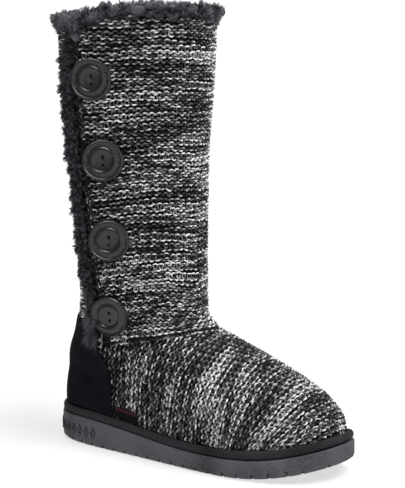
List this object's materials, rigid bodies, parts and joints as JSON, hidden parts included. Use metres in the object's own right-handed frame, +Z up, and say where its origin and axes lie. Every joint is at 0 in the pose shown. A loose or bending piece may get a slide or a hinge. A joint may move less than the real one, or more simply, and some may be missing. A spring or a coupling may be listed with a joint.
{
  "type": "boot",
  "caption": "Tall knitted winter boot with a buttoned side flap, pile trim, suede heel patch and a wedge sole.",
  "frame": {"origin": "on the floor, at the middle of the heel's tread", "axes": "+X towards the toe, +Y towards the inner side of the leg, +Z up"},
  "size_m": [0.2744, 0.1469, 0.3619],
  "materials": {
    "knit": "marled black, grey and white wool knit, purl side out",
    "fleece": "charcoal long pile fleece",
    "suede": "black suede",
    "rand": "dark matte band with a fine grain",
    "sole": "dark grey foamed rubber, fine grain",
    "button": "charcoal moulded plastic, satin rims",
    "tag": "plain woven tag, dark maroon and black",
    "insole": "charcoal fleece footbed"
  },
  "bodies": {
    "root": {"outsole": "sole", "rand": "rand", "insole": "insole", "upper": "knit", "heel_counter": "suede", "collar_fleece": "fleece", "strip_fleece": "fleece", "button_1": "button", "button_2": "button", "button_3": "button", "button_4": "button", "side_tag": "tag"}
  },
  "joints": []
}
